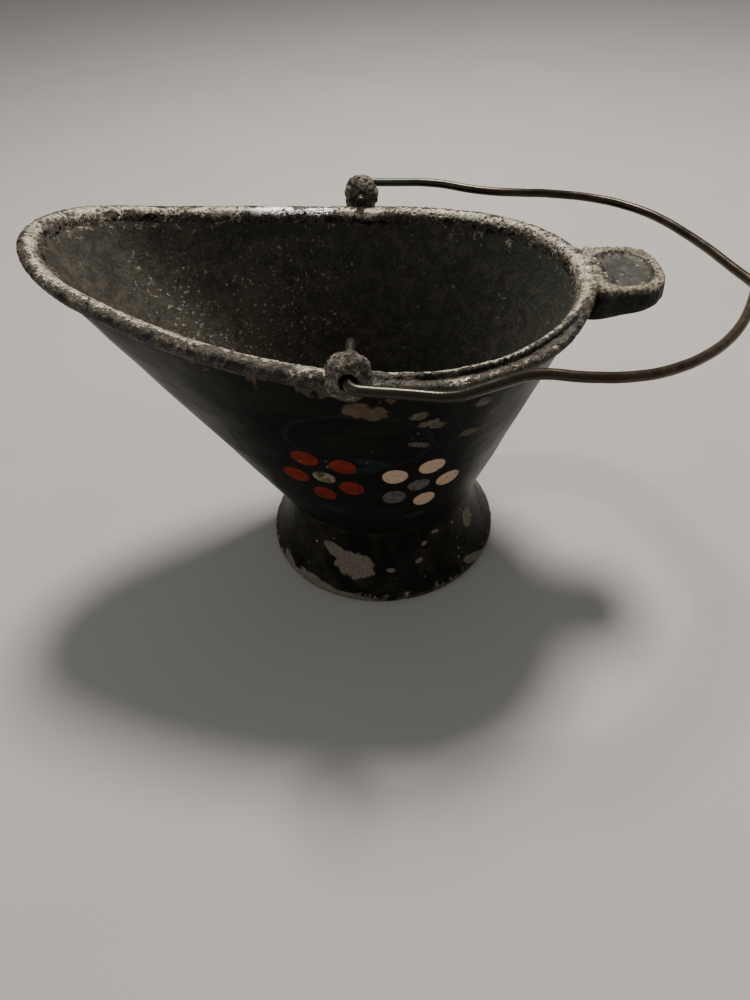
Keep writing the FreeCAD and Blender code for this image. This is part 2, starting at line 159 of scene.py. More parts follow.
class FinishSettings(bpy.types.PropertyGroup):
    """Colours of the paints and the worn metal."""

    black: colour("Black paint", "The old black paint", (0.0060, 0.0060, 0.0046))
    smoke: colour("Faded paint", "The same paint where it has faded", (0.016, 0.016, 0.0125))
    inside: colour("Inside paint", "The matt paint inside the body", (0.0240, 0.0215, 0.0150))
    bare: colour("Bare metal", "The pale pitted metal of worn edges", (0.42, 0.39, 0.305))
    chip: colour("Chipped ground", "The grey-brown ground under chipped paint", (0.17, 0.14, 0.105))
    red: colour("Red petals", "The red flower", (0.225, 0.026, 0.013))
    cream: colour("Cream petals", "The cream flower", (0.66, 0.46, 0.33))
    leaf: colour("Leaf strokes", "The dark green brush strokes", (0.0165, 0.027, 0.024))
    wire: colour("Bail wire", "The browned wire", (0.062, 0.049, 0.034))


class StageSettings(bpy.types.PropertyGroup):
    """Floor, lights and camera."""

    floor: colour("Floor", "The pale floor", (0.52, 0.51, 0.49))
    key: FloatProperty(name="Key light", description="Power of the main light", default=3.4, subtype="POWER")
    fill: FloatProperty(
        name="Fill light", description="Power of the fill light", default=0.30, subtype="POWER"
    )
    air: FloatProperty(name="Room light", description="Strength of the light from all round", default=0.24)
    lens: FloatProperty(
        name="Lens", description="Focal length of the camera", default=25.17, subtype="DISTANCE_CAMERA"
    )


# --- Shader tools -----------------------------------------------------------


class Signal:
    """One output of a node; arithmetic on it adds Math nodes to its finish."""

    def __init__(self, finish, socket):
        self.finish = finish
        self.socket = socket

    def math(self, operation, *values):
        return self.finish.add("ShaderNodeMath", {"operation": operation}, dict(enumerate(values)))

    def __add__(self, other):
        return self.math("ADD", self, other)

    __radd__ = __add__

    def __sub__(self, other):
        return self.math("SUBTRACT", self, other)

    def __rsub__(self, other):
        return self.math("SUBTRACT", other, self)

    def __mul__(self, other):
        return self.math("MULTIPLY", self, other)

    __rmul__ = __mul__

    def __truediv__(self, other):
        return self.math("DIVIDE", self, other)

    def __abs__(self):
        return self.math("ABSOLUTE", self)

    def most(self, other):
        return self.math("MAXIMUM", self, other)

    def rise(self, low, high):
        """0 below low, 1 above high and smooth between; the other way round if low is above high."""
        ends = {0: self, 1: low, 2: high, 3: 0.0, 4: 1.0}
        return self.finish.add("ShaderNodeMapRange", {"interpolation_type": "SMOOTHSTEP"}, ends)


class Finish:
    """A material made of nodes."""

    def __init__(self, name):
        self.material = bpy.data.materials.new(name)
        self.material.use_nodes = True
        self.tree = self.material.node_tree
        self.shader = next(n for n in self.tree.nodes if n.type == "BSDF_PRINCIPLED")
        place = self.add("ShaderNodeTexCoord", output="Object")
        self.place = self.add("ShaderNodeVectorMath", {"operation": "SCALE"}, {0: place, "Scale": 1000.0})
        parts = self.add("ShaderNodeSeparateXYZ", inputs={0: self.place}, output=None)
        self.x, self.y, self.z = (Signal(self, parts.outputs[i]) for i in range(3))

    def add(self, kind, settings=None, inputs=None, output=0):
        """Adds a node: its settings first, then its sockets. Gives one output, or the node."""
        node = self.tree.nodes.new(kind)
        for key, value in (settings or {}).items():
            setattr(node, key, value)
        for key, value in (inputs or {}).items():
            if isinstance(value, Signal):
                self.tree.links.new(value.socket, node.inputs[key])
            else:
                node.inputs[key].default_value = value
        return node if output is None else Signal(self, node.outputs[output])

    def grain(self, size, detail=3.0, roughness=0.55, stretch=None):
        """Noise from 0 to 1 whose features are about `size` millimetres across."""
        place = self.place
        if stretch:
            place = self.add("ShaderNodeVectorMath", {"operation": "MULTIPLY"}, {0: place, 1: stretch})
        return self.add(
            "ShaderNodeTexNoise",
            {"noise_dimensions": "3D"},
            {"Vector": place, "Scale": 1.0 / size, "Detail": detail, "Roughness": roughness},
        )

    def cells(self, size):
        """Distance from scattered points about `size` millimetres apart."""
        inputs = {"Vector": self.place, "Scale": 1.0 / size}
        return self.add("ShaderNodeTexVoronoi", {"feature": "F1"}, inputs)

    def mark(self, name):
        """A number painted on the mesh."""
        return self.add("ShaderNodeAttribute", {"attribute_name": name}, output="Fac")

    def mix(self, amount, under, over):
        """One colour over another."""
        colours = {k: v if isinstance(v, Signal) else (*v, 1.0) for k, v in ((6, under), (7, over))}
        return self.add("ShaderNodeMix", {"data_type": "RGBA"}, {0: amount, **colours}, output=2)

    def cover(self, colour_so_far, layers):
        """Paints layers of (amount, colour) one over another."""
        for amount, over in layers:
            colour_so_far = self.mix(amount, colour_so_far, over)
        return colour_so_far

    def surface(self, heights, **sockets):
        """Sets the shader; heights are (height, depth in metres, strength) of each bump, coarse to fine."""
        normal = None
        for height, depth, strength in heights:
            inputs = {"Height": height, "Distance": depth, "Strength": strength}
            if normal:
                inputs["Normal"] = normal
            normal = self.add("ShaderNodeBump", inputs=inputs)
        values = {name.replace("_", " ").title().replace("Ior", "IOR"): v for name, v in sockets.items()}
        values["Normal"] = normal
        for name, value in values.items():
            socket = self.shader.inputs[name]
            if isinstance(value, Signal):
                self.tree.links.new(value.socket, socket)
            else:
                socket.default_value = value
        return self.material


# --- Mesh tools -------------------------------------------------------------


def ring_casting(segments, rings, place):
    """A ring of edges extruded ring by ring; place(turn, ring) gives each point and its wear."""
    bm = bmesh.new()
    turn = bm.verts.layers.float.new("turn")
    wear = bm.verts.layers.float.new("wear")
    level = bm.verts.layers.float.new("level")
    bmesh.ops.create_circle(bm, segments=segments, radius=1.0)
    for step, vert in enumerate(bm.verts):
        vert[turn] = step / segments
    verts, edges = bm.verts[:], bm.edges[:]
    for ring in range(rings):
        if ring:
            made = bmesh.ops.extrude_edge_only(bm, edges=edges)["geom"]
            verts = [g for g in made if isinstance(g, bmesh.types.BMVert)]
            fresh = set(verts)
            edges = [e for v in verts for e in v.link_edges if e.verts[0] in fresh and e.verts[1] in fresh]
            edges = list(dict.fromkeys(edges))
        for vert in verts:
            vert.co, vert[wear] = place(vert[turn], ring)
            vert[level] = ring
    return bm, edges


def finish_piece(name, bm, materials, body, node, pick=None):
    """Closes a mesh, points it outwards and puts it on its body in place of a CAD node."""
    bmesh.ops.remove_doubles(bm, verts=bm.verts, dist=2e-6)
    bmesh.ops.recalc_face_normals(bm, faces=bm.faces)
    level = bm.verts.layers.float.get("level")
    for face in bm.faces:
        face.smooth = True
        if pick:
            face.material_index = pick(sum(v[level] for v in face.verts) / len(face.verts))
    open_edges = sum(1 for e in bm.edges if len(e.link_faces) != 2)
    if open_edges:
        raise RuntimeError(f"{name} has {open_edges} open edges")
    if bm.calc_volume(signed=True) < 0:
        bmesh.ops.reverse_faces(bm, faces=bm.faces)
    mesh = bpy.data.meshes.new(name)
    bm.to_mesh(mesh)
    bm.free()
    for material in materials:
        mesh.materials.append(material)
    piece = bpy.data.objects.new(name, mesh)
    bpy.context.scene.collection.objects.link(piece)
    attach(piece, body)
    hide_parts(node)
    return piece


def smooth_section(marks, fineness):
    """A closed smooth curve through the marks of a section."""
    points = []
    count = len(marks)
    for i in range(count):
        a, b, c, d = (Vector(marks[(i + k) % count]) for k in (-1, 0, 1, 2))
        for j in range(fineness):
            t = j / fineness
            bend, twist = 2 * a - 5 * b + 4 * c - d, 3 * b - a - 3 * c + d
            points.append(0.5 * (2 * b + (c - a) * t + bend * t * t + twist * t**3))
    return points


def ease(value, low, high):
    """0 at low, 1 at high, smooth between."""
    t = min(1.0, max(0.0, (value - low) / (high - low)))
    return t * t * (3 - 2 * t)


def lumps(point, size, seed=0.0, octaves=3):
    """Smooth random height from about -1 to 1 with features of `size` metres."""
    return noise.fractal(point / size + Vector((seed, seed * 1.7, -seed)), 0.9, 2.1, octaves)


class Wall:
    """The slanting wall: straight lines from the round neck to the spouted mouth."""

    def __init__(self, s):
        self.s = s
        reach = s.mouth_front + s.mouth_centre
        self.side_drop = s.side_radius - s.mouth_radius
        self.nose = (s.side_radius**2 - reach**2 - self.side_drop**2) / (2 * (s.side_radius - reach))
        self.nose_x = self.nose - s.mouth_front
        self.side_end = math.atan2(self.side_drop, self.nose_x - s.mouth_centre)
        rear = s.mouth_radius * math.pi / 2
        side = s.side_radius * (self.side_end - math.pi / 2)
        nose = self.nose * (math.pi - self.side_end)
        self.lengths = (rear, side, nose)

    def angle(self, turn):
        """Direction that the wall faces after this share of the way round, from the rear."""
        turn = (turn + 0.5) % 1.0 - 0.5
        rear, side, nose = self.lengths
        way = abs(turn) * 2 * (rear + side + nose)
        if way < rear:
            angle = way / self.s.mouth_radius
        elif way < rear + side:
            angle = math.pi / 2 + (way - rear) / self.s.side_radius
        else:
            angle = self.side_end + (way - rear - side) / self.nose
        return math.copysign(min(angle, math.pi), turn)

    def neck(self, angle):
        s = self.s
        return Vector((s.neck_radius * math.cos(angle), s.neck_radius * math.sin(angle), s.neck_height))

    def mouth(self, angle):
        s = self.s
        around, side = abs(angle), math.copysign(1.0, angle)
        if around <= math.pi / 2:
            x, y, radius = s.mouth_centre, 0.0, s.mouth_radius
        elif around <= self.side_end:
            x, y, radius = s.mouth_centre, -self.side_drop, s.side_radius
        else:
            x, y, radius = self.nose_x, 0.0, self.nose
        return Vector((x + radius * math.cos(around), side * (y + radius * math.sin(around)), s.mouth_height))

    def out(self, angle):
        return Vector((math.cos(angle), math.sin(angle), 0.0))

    def lean(self, angle):
        """How far the wall goes outwards for each unit that it rises."""
        rise = self.mouth(angle) - self.neck(angle)
        return rise.dot(self.out(angle)) / rise.z

    def sheer(self, x):
        s = self.s
        return s.sheer_low_z + s.sheer_radius - math.sqrt(s.sheer_radius**2 - (x - s.sheer_low_x) ** 2)

    def rim_share(self, angle):
        """How far up its line the wall meets the rim."""
        neck, mouth = self.neck(angle), self.mouth(angle)
        part = 0.7
        for _ in range(12):
            x = neck.x + (mouth.x - neck.x) * part
            part = (self.sheer(x) - neck.z) / (mouth.z - neck.z)
        return part

    def at(self, angle, part):
        return self.neck(angle).lerp(self.mouth(angle), part)


# --- Painted marks ----------------------------------------------------------

# Each mark: degrees round from the left side, height, half width, half height (mm), tilt in degrees.
FLOWER_RADIUS = 24.0  # the wall's radius where the flowers are, which turns mm into degrees
CHIP_RADIUS = 28.0  # the same, higher up where most of the chips are
FOOT_RADIUS = 22.0  # and on the foot
PETAL_RING = 5.2  # from a flower's middle to the middle of a petal, mm
LEAF_RING = 10.0
RED_FLOWER = (-21.0, 33.0)  # degrees and height of its middle
CREAM_FLOWER = (18.0, 31.0)


def ring(flower, count, reach, first, wide, high):
    """Marks spaced evenly round a flower's middle, each leaning with the flare of the wall."""
    degrees, height = flower
    per_mm = 180 / (math.pi * FLOWER_RADIUS)
    spots = []
    for i in range(count):
        turn = math.radians(first + i * 360 / count)
        across, up = reach * math.cos(turn) * per_mm, reach * math.sin(turn)
        spots.append((degrees + across, height + up, wide, high, degrees * 0.6))
    return spots


def scattered(seed, count, degrees, heights, wide, high):
    """Marks strewn between two angles and two heights; the seed keeps them where they are."""
    draw = random.Random(seed)
    ranges = (degrees, heights, wide, high, (-30.0, 30.0))
    return [tuple(draw.uniform(*span) for span in ranges) for _ in range(count)]


RED_PETALS = ring(RED_FLOWER, 5, PETAL_RING, -29.0, 2.2, 1.9)
CREAM_RING = ring(CREAM_FLOWER, 5, PETAL_RING, -73.0, 2.1, 1.9)
CREAM_PETALS = CREAM_RING[:4]
WORN_PETALS = CREAM_RING[4:] + ring(CREAM_FLOWER, 1, 0.0, 0.0, 1.9, 1.6)
KHAKI_CENTRE = ring(RED_FLOWER, 1, 0.0, 0.0, 2.0, 1.5)
LEAF_STROKES = ring(RED_FLOWER, 3, LEAF_RING, -90.0, 2.9, 0.9)
LEAF_STROKES += ring(CREAM_FLOWER, 3, LEAF_RING, -90.0, 2.7, 0.9)
EAR_SCARS = scattered(5, 3, (-14.0, 3.0), (50.2, 51.4), (1.5, 2.4), (1.0, 1.5))
WALL_CHIPS = (
    scattered(3, 7, (14.0, 42.0), (42.5, 50.5), (0.7, 2.0), (0.5, 0.95))
    + scattered(8, 5, (70.0, 176.0), (32.0, 47.0), (1.4, 2.8), (1.0, 1.7))
    + scattered(9, 3, (-172.0, -58.0), (36.0, 47.0), (1.4, 2.2), (0.8, 1.4))
)
BARE_PATCH = [(-15.0, 7.0, 4.4, 2.7, -6), (-27.0, 9.0, 3.0, 1.5, -14)]  # the foot's big chip and its tail
FOOT_CHIPS = (
    BARE_PATCH
    + scattered(2, 5, (4.0, 34.0), (6.0, 12.4), (0.5, 1.4), (0.4, 0.6))
    + scattered(6, 1, (54.0, 66.0), (7.5, 9.0), (1.8, 2.2), (2.0, 2.5))
    + scattered(7, 6, (-60.0, 62.0), (0.8, 1.8), (3.0, 5.5), (0.8, 1.1))
    + scattered(4, 4, (84.0, 178.0), (4.0, 8.0), (1.8, 2.6), (1.1, 1.5))
    + scattered(1, 3, (-176.0, -84.0), (4.0, 8.0), (1.8, 2.4), (1.1, 1.4))
)


def marks(finish, spots, around, radius, ragged=0.0, blur=0.12):
    """Mask of oval marks on the round side; `ragged` is noise that breaks their edges."""
    mask = None
    for degrees, height, wide, high, tilt in spots:
        c, s = math.cos(math.radians(tilt)), math.sin(math.radians(tilt))
        across = (around - degrees) * (radius * math.pi / 180)
        up = finish.z - height
        p = (across * c + up * s) / wide
        q = (up * c - across * s) / high
        oval = p * p + q * q + ragged
        spot = oval.rise(1.0 + blur, 1.0 - blur)
        mask = spot if mask is None else mask.most(spot)
    return mask


def around_left(finish):
    """Degrees round the upright axis from the left side, positive towards the rear."""
    return finish.x.math("ARCTAN2", finish.x, finish.y * -1.0) * (180 / math.pi)


# --- Finishes ---------------------------------------------------------------


def outside_paint(c):
    """Old black paint with two worn flowers, brush strokes, chips and scratches."""
    f = Finish("outside_paint")
    around = around_left(f)
    edge = f.grain(1.4, 4.0, 0.65)
    broken = (edge - 0.5) * 2.6
    flaked = broken + (f.grain(0.8, 4.0, 0.65) - 0.5) * 3.4
    soft = (f.grain(2.2, 2.0) - 0.5) * 0.7
    cloud = f.grain(14.0, 4.0, 0.6)
    streaks = f.grain(5.0, 4.0, 0.6, stretch=(0.25, 0.25, 2.2))
    fine = f.grain(0.5, 3.0, 0.6)
    wear = f.mark("wear")
    paint = f.mix((cloud * 0.6 + streaks * 0.4).rise(0.42, 0.72), c.black, c.smoke)
    loop_p, loop_q = (around + 5.0) / 25.0, (f.z - 43.0) / 6.6
    loop = abs(loop_p * loop_p + loop_q * loop_q - 1.0 + soft * 0.12).rise(0.11, 0.03)
    leaf = marks(f, LEAF_STROKES, around, FLOWER_RADIUS, soft, 0.4).most(loop * 0.75) * fine.rise(0.30, 0.55)
    red = marks(f, RED_PETALS, around, FLOWER_RADIUS, soft * 0.4)
    cream = marks(f, CREAM_PETALS, around, FLOWER_RADIUS, soft * 0.4)
    worn = marks(f, WORN_PETALS, around, FLOWER_RADIUS, soft * 0.4 + flaked * 0.16)
    khaki = marks(f, KHAKI_CENTRE, around, FLOWER_RADIUS, soft * 0.4)
    rubbed = edge.rise(0.60, 0.68)
    chips = marks(f, WALL_CHIPS, around, CHIP_RADIUS, flaked, 0.3)
    scars = marks(f, EAR_SCARS, around, CHIP_RADIUS, broken * 1.3, 0.3)
    rim_wear = ((wear + (edge - 0.5) * 1.5) * (f.grain(6.0, 2.0).rise(0.42, 0.6))).rise(0.62, 0.80)
    specks = f.cells(3.4).rise(0.11, 0.06) * f.grain(9.0).rise(0.52, 0.62)
    scratches = f.grain(0.55, 2.0, 0.5, stretch=(0.16, 0.16, 1.6)).rise(0.73, 0.78) * cloud.rise(0.55, 0.65)
    blush = f.mix((f.grain(3.0)).rise(0.4, 0.6), (0.15, 0.095, 0.062), (0.10, 0.080, 0.058))
    red_tone = f.mix(f.grain(1.2).rise(0.35, 0.7), c.red, [v * 0.62 for v in c.red])
    cream_tone = f.mix(f.grain(0.8).rise(0.3, 0.75), c.cream, [v * 0.82 for v in c.cream])
    worn_tone = f.mix(edge.rise(0.35, 0.6), (0.085, 0.070, 0.062), (0.16, 0.135, 0.12))
    khaki_tone = f.mix(edge.rise(0.42, 0.6), (0.085, 0.072, 0.044), (0.30, 0.25, 0.17))
    base = f.cover(
        paint,
        [
            (leaf * 0.85, c.leaf),
            (red * (1 - rubbed * 0.5), red_tone),
            (cream * (1 - rubbed * 0.9), cream_tone),
            (worn, worn_tone),
            (khaki, khaki_tone),
            (scratches * 0.5, (0.10, 0.095, 0.08)),
            (chips * 0.9, f.mix(edge.rise(0.4, 0.6), (0.10, 0.085, 0.065), c.chip)),
            (scars * 0.95, blush),
            (specks * 0.8, (0.22, 0.20, 0.17)),
            (rim_wear * 0.8, blush),
        ],
    )
    lost = chips.most(scars).most(rim_wear).most(specks)
    petals = red.most(cream).most(khaki)
    roughness = 0.26 + cloud.rise(0.3, 0.8) * 0.18 + streaks * 0.06 + lost * 0.30 + petals * 0.14
    dents = f.grain(7.0, 2.0, 0.5)
    return f.surface(
        [
            (dents * 0.6 + streaks * 0.25, 0.0010, 0.35),
            (fine * 0.35 + petals * 0.5 - lost * 1.0, 0.00010, 0.8),
        ],
        base_color=base,
        roughness=roughness,
        specular_ior_level=0.10,
        metallic=lost * 0.15,
    )


def inside_paint(c):
    """Matt brown-black paint, speckled with pale corrosion towards the spout and under the rim."""
    f = Finish("inside_paint")
    wear = f.mark("wear")
    cloud = f.grain(11.0, 4.0, 0.62)
    mottle = f.grain(2.4, 4.0, 0.7)
    fine = f.grain(0.55, 3.0, 0.65)
    spout = f.x.rise(-14.0, -34.0)
    middle = f.x.rise(4.0, -16.0) * f.z.rise(60.0, 42.0)
    greenish = f.x.rise(14.0, 34.0)
    bloom = (cloud * 0.5 + mottle * 0.5 + middle * 0.10 + spout * 0.04).rise(0.47, 0.72)
    faded = f.mix(mottle.rise(0.35, 0.75), c.inside, [v * 2.0 for v in c.inside])
    paint = f.mix(greenish * 0.75, faded, (0.030, 0.037, 0.029))
    patch = f.grain(5.5, 3.0, 0.6) + middle * 0.17 + spout * 0.03 - f.x.rise(-8.0, 4.0) * 0.03
    dust = f.grain(0.75, 3.0, 0.6)
    specks = dust.rise(0.58, 0.68) * patch.rise(0.54, 0.72)
    flecks = (f.cells(2.0) + (dust - 0.5) * 0.16).rise(0.17, 0.08) * patch.rise(0.50, 0.66)
    crumbs = (f.cells(4.6) + (fine - 0.5) * 0.14).rise(0.085, 0.045) * cloud.rise(0.40, 0.50)
    hanging = f.grain(5.0, 2.0).rise(0.44, 0.56) * f.y.rise(2.0, 18.0) * f.x.rise(-24.0, -12.0)
    near_rim = wear * (0.40 + spout * 0.34 + greenish * 0.24 + hanging * 0.34)
    open_wall = 1 - wear.rise(0.55, 1.0) * 0.85
    crust = (near_rim + (f.grain(1.5, 4.0, 0.7) - 0.5) * 1.9 + (cloud - 0.5) * 0.9).rise(0.72, 0.98)
    pale = specks.most(flecks).most(crumbs * 0.8)
    base = f.cover(
        paint,
        [
            (bloom * open_wall * 0.60, (0.090, 0.082, 0.060)),
            (fine.rise(0.40, 0.68) * open_wall * (0.25 + mottle.rise(0.3, 0.7) * 0.5), (0.100, 0.091, 0.070)),
            (f.grain(3.6, 3.0, 0.6).rise(0.56, 0.68) * 0.4, (0.105, 0.090, 0.064)),
            (pale * 0.85, (0.36, 0.34, 0.27)),
            (crust * 0.85, f.mix(fine.rise(0.35, 0.65), (0.085, 0.080, 0.062), c.bare)),
        ],
    )
    return f.surface(
        [
            (mottle * 0.5 + cloud * 0.5, 0.0006, 0.4),
            (fine * 0.6 + pale * 0.5 + crust * 0.8, 0.00013, 0.9),
        ],
        base_color=base,
        roughness=0.60 + mottle * 0.20 - greenish * 0.08,
        specular_ior_level=0.35,
        metallic=crust * 0.25,
    )


def worn_rim(c):
    """Pale pitted metal on the crest of the roll, a polished streak painted with a near-white highlight on
    the far rim, dark residue on its side and black paint underneath.
    """
    f = Finish("worn_rim")
    wear = f.mark("wear")
    coarse = f.grain(2.3, 4.0, 0.7)
    patch = f.grain(6.5, 2.0, 0.5)
    fine = f.grain(0.62, 4.0, 0.72)
    tiny = f.grain(0.26, 3.0, 0.7)
    pits = f.cells(1.0).rise(0.38, 0.18) * f.grain(3.0).rise(0.44, 0.54)
    # A near-white painted highlight on the worn crest of the far rim; the same streak is also polished,
    # smoother and more metallic.
    polish_streak_and_painted_highlight = f.x.rise(-25.0, -20.0) * f.x.rise(-6.0, -10.0) * f.y.rise(18.0, 24.0) * wear.rise(0.55, 0.8)
    deep = f.grain(3.4, 2.0, 0.5).rise(0.62, 0.68) * wear.rise(0.72, 0.48)
    gouges = (f.grain(1.7, 3.0, 0.6).rise(0.59, 0.66) * wear.rise(0.75, 0.45)).most(deep * 1.6)
    mottled = wear + (coarse - 0.5) * 1.7 + (fine - 0.5) * 1.5 + (patch - 0.5) * 1.6 - gouges * 0.7
    ground = mottled.rise(0.08, 0.46)
    exposed = mottled.rise(0.60, 0.90) * (1 - pits * 0.95)
    polish = (exposed * patch.rise(0.46, 0.62) * tiny.rise(0.25, 0.6)).most(polish_streak_and_painted_highlight)
    metal = f.cover(
        f.mix(fine.rise(0.36, 0.58), (0.12, 0.106, 0.078), c.bare),
        [
            (tiny.rise(0.48, 0.60) * wear.rise(0.5, 0.9) * 0.7, (0.66, 0.63, 0.54)),
            (patch.rise(0.52, 0.68) * 0.5, (0.15, 0.125, 0.088)),
            # the painted highlight of the far rim's streak
            (polish_streak_and_painted_highlight * 0.9, (0.80, 0.80, 0.78)),
        ],
    )
    residue = f.mix(fine.rise(0.36, 0.64), (0.022, 0.018, 0.012), (0.098, 0.080, 0.055))
    paint = f.mix(coarse.rise(0.4, 0.7), c.black, (0.022, 0.019, 0.014))
    base = f.mix(exposed, f.mix(ground, paint, residue), metal)
    return f.surface(
        [
            (coarse, 0.00040, 0.5),
            (fine * 0.8 + exposed * 0.5 - pits * 0.9 - deep * 1.5, 0.00026, 0.9),
            (tiny, 0.00009, 0.7),
        ],
        base_color=base,
        roughness=0.56 - polish * 0.24,
        metallic=exposed * 0.35 + polish * 0.40,
        specular_ior_level=0.4,
    )


def crusted_casting_with_painted_light():
    """Crusty grey-khaki metal of the ears, with painted highlights on its lumps and painted shade in its
    crevices and in the socket.
    """
    f = Finish("crusted_casting_with_painted_light")
    wear = f.mark("wear")
    coarse = f.grain(1.9, 4.0, 0.7)
    fine = f.grain(0.5, 4.0, 0.72)
    warm = f.grain(3.2, 2.0)
    pits = f.cells(0.85).rise(0.42, 0.18) * coarse.rise(0.40, 0.52)
    glints = f.grain(0.3, 2.0).rise(0.57, 0.65) * coarse.rise(0.44, 0.56)
    # Darker in the crevices and paler on the lumps, after the same noise that raises them: painted shade and
    # painted highlight over the crust's own tone.
    crust = f.mix(coarse.rise(0.38, 0.60), (0.030, 0.025, 0.018), (0.175, 0.150, 0.110))
    base = f.cover(
        crust,
        [
            (warm.rise(0.5, 0.7) * 0.6, (0.125, 0.090, 0.060)),
            # paler still on the highest lumps of the crust: a painted highlight
            ((fine * 0.6 + coarse * 0.4).rise(0.53, 0.63) * wear * 0.7, (0.38, 0.345, 0.265)),
            (glints * wear * 0.7, (0.52, 0.48, 0.38)),
            (pits * 0.9, (0.014, 0.012, 0.009)),
            # Painted shade: near-black in the socket and the bore, where the wear mark falls to nothing.
            (wear.rise(0.30, 0.05), (0.012, 0.010, 0.008)),
        ],
    )
    return f.surface(
        [(coarse, 0.0006, 0.8), (fine - pits * 1.2, 0.00026, 1.0)],
        base_color=base,
        roughness=0.52 + fine * 0.25 - glints * 0.2,
        metallic=fine.rise(0.4, 0.7) * 0.4,
        specular_ior_level=0.5,
    )


def worn_grip(c):
    """Whitish pitted border, smooth grey middle and black sides."""
    f = Finish("worn_grip")
    wear = f.mark("wear")
    coarse = f.grain(1.7, 4.0, 0.7)
    fine = f.grain(0.55, 4.0, 0.72)
    tiny = f.grain(0.24, 3.0, 0.7)
    pits = f.cells(0.95).rise(0.36, 0.16) * coarse.rise(0.44, 0.55)
    border = (wear + (coarse - 0.5) * 1.3 + (fine - 0.5) * 1.0).rise(0.46, 0.80)
    top = f.mark("top").rise(0.35, 0.6)
    middle = f.mix(coarse.rise(0.35, 0.7), (0.040, 0.039, 0.033), (0.090, 0.087, 0.074))
    dots = (f.cells(1.5) + (fine - 0.5) * 0.3).rise(0.22, 0.10) * f.grain(2.5).rise(0.44, 0.56)
    crust = f.cover(
        f.mix((fine * 0.6 + coarse * 0.4).rise(0.38, 0.62), (0.085, 0.072, 0.050), c.bare),
        [
            (tiny.rise(0.46, 0.66) * fine.rise(0.45, 0.6) * 0.6, (0.62, 0.59, 0.50)),
            (f.grain(4.0).rise(0.50, 0.64) * 0.45, (0.16, 0.130, 0.088)),
            (pits * 0.85, (0.024, 0.021, 0.016)),
        ],
    )
    side = f.mix(coarse.rise(0.45, 0.72), c.black, (0.040, 0.036, 0.028))
    lit = f.mix(dots * 0.7, f.mix(border, middle, crust), (0.36, 0.34, 0.28))
    base = f.mix(top, side, lit)
    return f.surface(
        [(coarse * border.most(0.25), 0.0005, 0.7), (fine * border.most(0.2) - pits * border, 0.00024, 0.9)],
        base_color=base,
        roughness=0.50 + border * 0.12 + fine * 0.1,
        metallic=top * 0.35,
        specular_ior_level=0.2,
    )


def foot_paint(c):
    """Black paint on the foot, chipped to its grey ground, worn bright along the resting edge."""
    f = Finish("foot_paint")
    around = around_left(f)
    wear = f.mark("wear")
    edge = f.grain(1.5, 4.0, 0.68)
    broken = (edge - 0.5) * 2.0
    cloud = f.grain(10.0, 4.0, 0.6)
    fine = f.grain(0.5, 3.0, 0.65)
    brown = f.grain(5.0, 3.0, 0.6)
    chips = marks(f, FOOT_CHIPS, around, FOOT_RADIUS, broken + (fine - 0.5) * 0.3, 0.18)
    ringed = (wear + (edge - 0.5) * 1.6).rise(0.62, 0.84) * brown.rise(0.36, 0.56)
    sparkle = f.cells(2.6).rise(0.10, 0.05) * cloud.rise(0.48, 0.6)
    paint = f.mix(cloud.rise(0.36, 0.7), c.black, c.smoke)
    ground = f.mix(fine.rise(0.35, 0.7), c.chip, (0.25, 0.215, 0.165))
    base = f.cover(
        paint,
        [
            (brown.rise(0.46, 0.66) * edge.rise(0.30, 0.55) * 0.7, (0.046, 0.034, 0.021)),
            (ringed * 0.85, f.mix(edge.rise(0.5, 0.62), (0.12, 0.095, 0.07), (0.36, 0.33, 0.28))),
            (chips * 0.95, ground),
            (sparkle * 0.9, (0.50, 0.48, 0.43)),
        ],
    )
    lost = chips.most(ringed)
    return f.surface(
        [
            (f.grain(6.0, 2.0), 0.0007, 0.35),
            (edge * 0.6, 0.00025, 0.5),
            (fine * 0.5 - lost, 0.00012, 0.9),
        ],
        base_color=base,
        roughness=0.30 + cloud.rise(0.3, 0.8) * 0.2 + lost * 0.28 - sparkle * 0.1,
        metallic=sparkle * 0.6 + ringed * 0.25,
        specular_ior_level=0.08,
    )


def browned_wire(c):
    """Dark glossy wire: browner where it is handled, greyer near the ears, greenish by the right one."""
    f = Finish("browned_wire")
    cloud = f.grain(7.0, 4.0, 0.6)
    mottle = f.grain(1.6, 4.0, 0.7)
    fine = f.grain(0.35, 3.0, 0.65)
    bronze = f.x.rise(22.0, 52.0) * f.y.rise(14.0, -12.0)
    green = f.x.rise(14.0, 4.0) * f.y.rise(20.0, 32.0)
    base = f.cover(
        f.mix(cloud.rise(0.35, 0.7), [v * 0.5 for v in c.wire], c.wire),
        [
            (bronze * mottle.rise(0.25, 0.65) * 0.8, (0.125, 0.090, 0.052)),
            (f.x.rise(26.0, 10.0) * 0.7, (0.046, 0.046, 0.036)),
            (green * 0.8, (0.075, 0.085, 0.066)),
            ((mottle * 0.6 + fine * 0.4).rise(0.58, 0.70) * 0.5, (0.20, 0.175, 0.135)),
        ],
    )
    return f.surface(
        [(mottle, 0.00010, 0.35), (fine, 0.00003, 0.4)],
        base_color=base,
        roughness=0.24 + cloud.rise(0.35, 0.7) * 0.10 + green * 0.15 + bronze * 0.08,
        metallic=0.85,
    )


# --- Pieces -----------------------------------------------------------------


